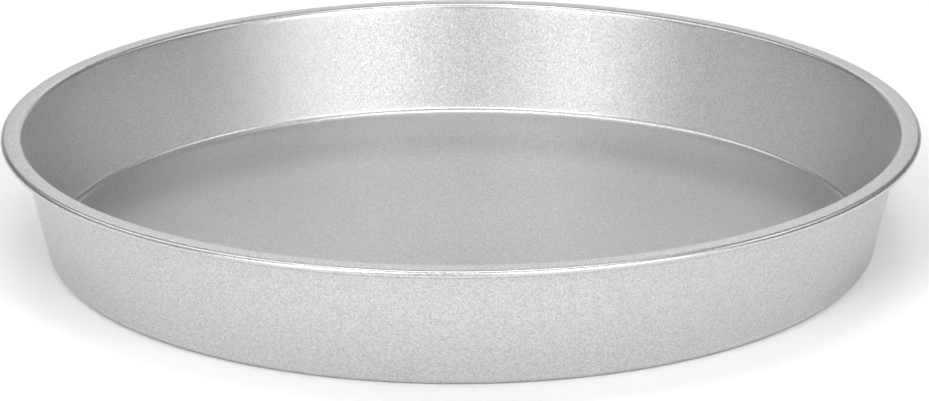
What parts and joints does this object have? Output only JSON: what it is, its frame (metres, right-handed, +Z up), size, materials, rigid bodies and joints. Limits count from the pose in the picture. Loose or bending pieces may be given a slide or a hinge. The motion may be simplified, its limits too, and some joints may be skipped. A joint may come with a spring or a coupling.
{
  "type": "tart tin",
  "caption": "Shallow round tart tin in silver-coated sheet steel, with a plain sloping wall, a flat floor and a rolled rim.",
  "frame": {"origin": "centre of the floor's underside, where the tin's axis meets the table", "axes": "+Z up along the tin's axis; the tin is round, so X and Y have no mark on the object"},
  "size_m": [0.292, 0.292, 0.0394],
  "materials": {
    "coated_steel": "satin silver non-stick coating with a fine metallic grain"
  },
  "bodies": {
    "root": {"tin": "coated_steel"}
  },
  "joints": []
}
